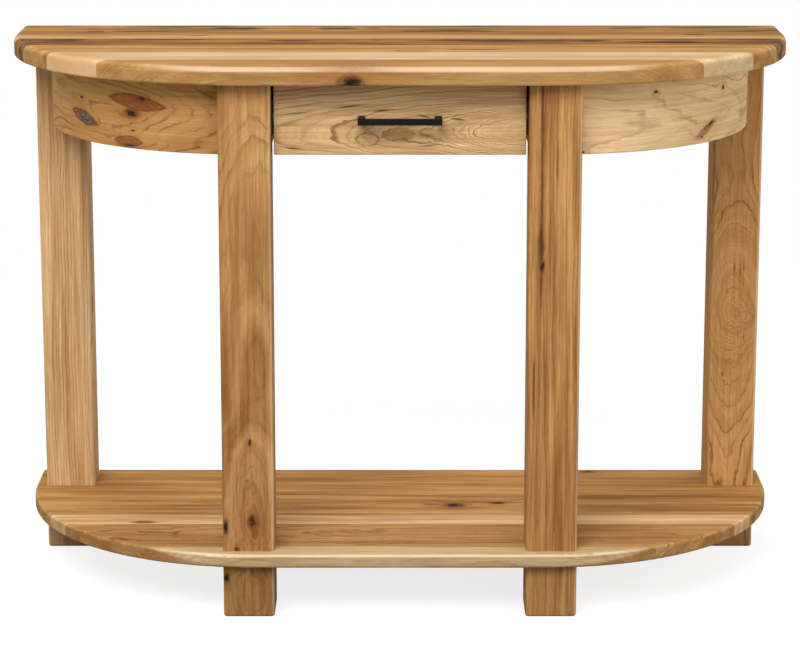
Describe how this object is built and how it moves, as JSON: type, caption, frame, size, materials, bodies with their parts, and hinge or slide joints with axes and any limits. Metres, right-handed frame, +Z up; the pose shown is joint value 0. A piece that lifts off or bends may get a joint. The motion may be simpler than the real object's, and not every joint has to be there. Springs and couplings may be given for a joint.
{
  "type": "half-moon table",
  "caption": "Half-moon hall table in rustic hickory with square legs, curved aprons, a lower shelf and a drawer on telescopic slides with a black bar pull.",
  "frame": {"origin": "on the floor, under the middle of the top's width and depth", "axes": "+X along the width to the right as seen from the front, +Y from front to back, +Z up"},
  "size_m": [1.092, 0.422, 0.762],
  "materials": {
    "hickory_orange": "satin clear coat",
    "hickory_cream": "satin clear coat",
    "hickory_tan": "satin clear coat",
    "hickory_honey": "satin clear coat",
    "hickory_brown": "satin clear coat",
    "maple": "satin clear coat",
    "birch_panel": "satin clear coat",
    "beech_dowel": "bare",
    "black_metal": "satin black",
    "zinc_steel": "zinc plated"
  },
  "bodies": {
    "table": {"top_board_1": "hickory_orange", "top_board_2": "hickory_cream", "top_board_3": "hickory_tan", "top_board_4": "hickory_tan", "top_board_5": "hickory_brown", "top_board_6": "hickory_brown", "shelf_board_1": "hickory_cream", "shelf_board_2": "hickory_tan", "shelf_board_3": "hickory_cream", "shelf_board_4": "hickory_tan", "shelf_board_5": "hickory_tan", "shelf_board_6": "hickory_brown", "left_apron": "hickory_honey", "right_apron": "hickory_tan", "back_apron": "hickory_tan", "left_drawer_rail": "hickory_tan", "right_drawer_rail": "hickory_tan", "front_left_leg": "hickory_brown", "front_left_foot": "hickory_brown", "front_right_leg": "hickory_honey", "front_right_foot": "hickory_honey", "back_left_leg": "hickory_tan", "back_left_foot": "hickory_tan", "back_right_leg": "hickory_honey", "back_right_foot": "hickory_honey", "leg_dowels": "beech_dowel", "apron_dowels": "beech_dowel", "rail_dowels": "beech_dowel", "top_fasteners": "zinc_steel", "top_fastener_screws": "zinc_steel", "slide_rail_screws": "zinc_steel", "left_slide_outer": "zinc_steel", "right_slide_outer": "zinc_steel"},
    "drawer": {"drawer_front": "hickory_tan", "drawer_box_front": "maple", "drawer_left_side": "maple", "drawer_right_side": "maple", "drawer_back": "maple", "drawer_bottom": "birch_panel", "drawer_pull": "black_metal", "left_slide_inner": "zinc_steel", "right_slide_inner": "zinc_steel", "pull_screws": "zinc_steel", "drawer_front_screws": "zinc_steel", "slide_drawer_screws": "zinc_steel"},
    "left_slide_carriage": {"left_slide_middle": "zinc_steel"},
    "right_slide_carriage": {"right_slide_middle": "zinc_steel"}
  },
  "joints": [
    {"name": "drawer_slide", "type": "slide", "parent": "table", "child": "drawer", "axis": [0, -1, 0], "range_m": [0, 0.25]},
    {"name": "left_slide_travel", "type": "slide", "parent": "table", "child": "left_slide_carriage", "axis": [0, -1, 0], "range_m": [0, 0.125]},
    {"name": "right_slide_travel", "type": "slide", "parent": "table", "child": "right_slide_carriage", "axis": [0, -1, 0], "range_m": [0, 0.125]}
  ],
  "couplings": [
    {"joint": "left_slide_travel", "follows": "drawer_slide", "ratio": 0.5},
    {"joint": "right_slide_travel", "follows": "drawer_slide", "ratio": 0.5}
  ]
}
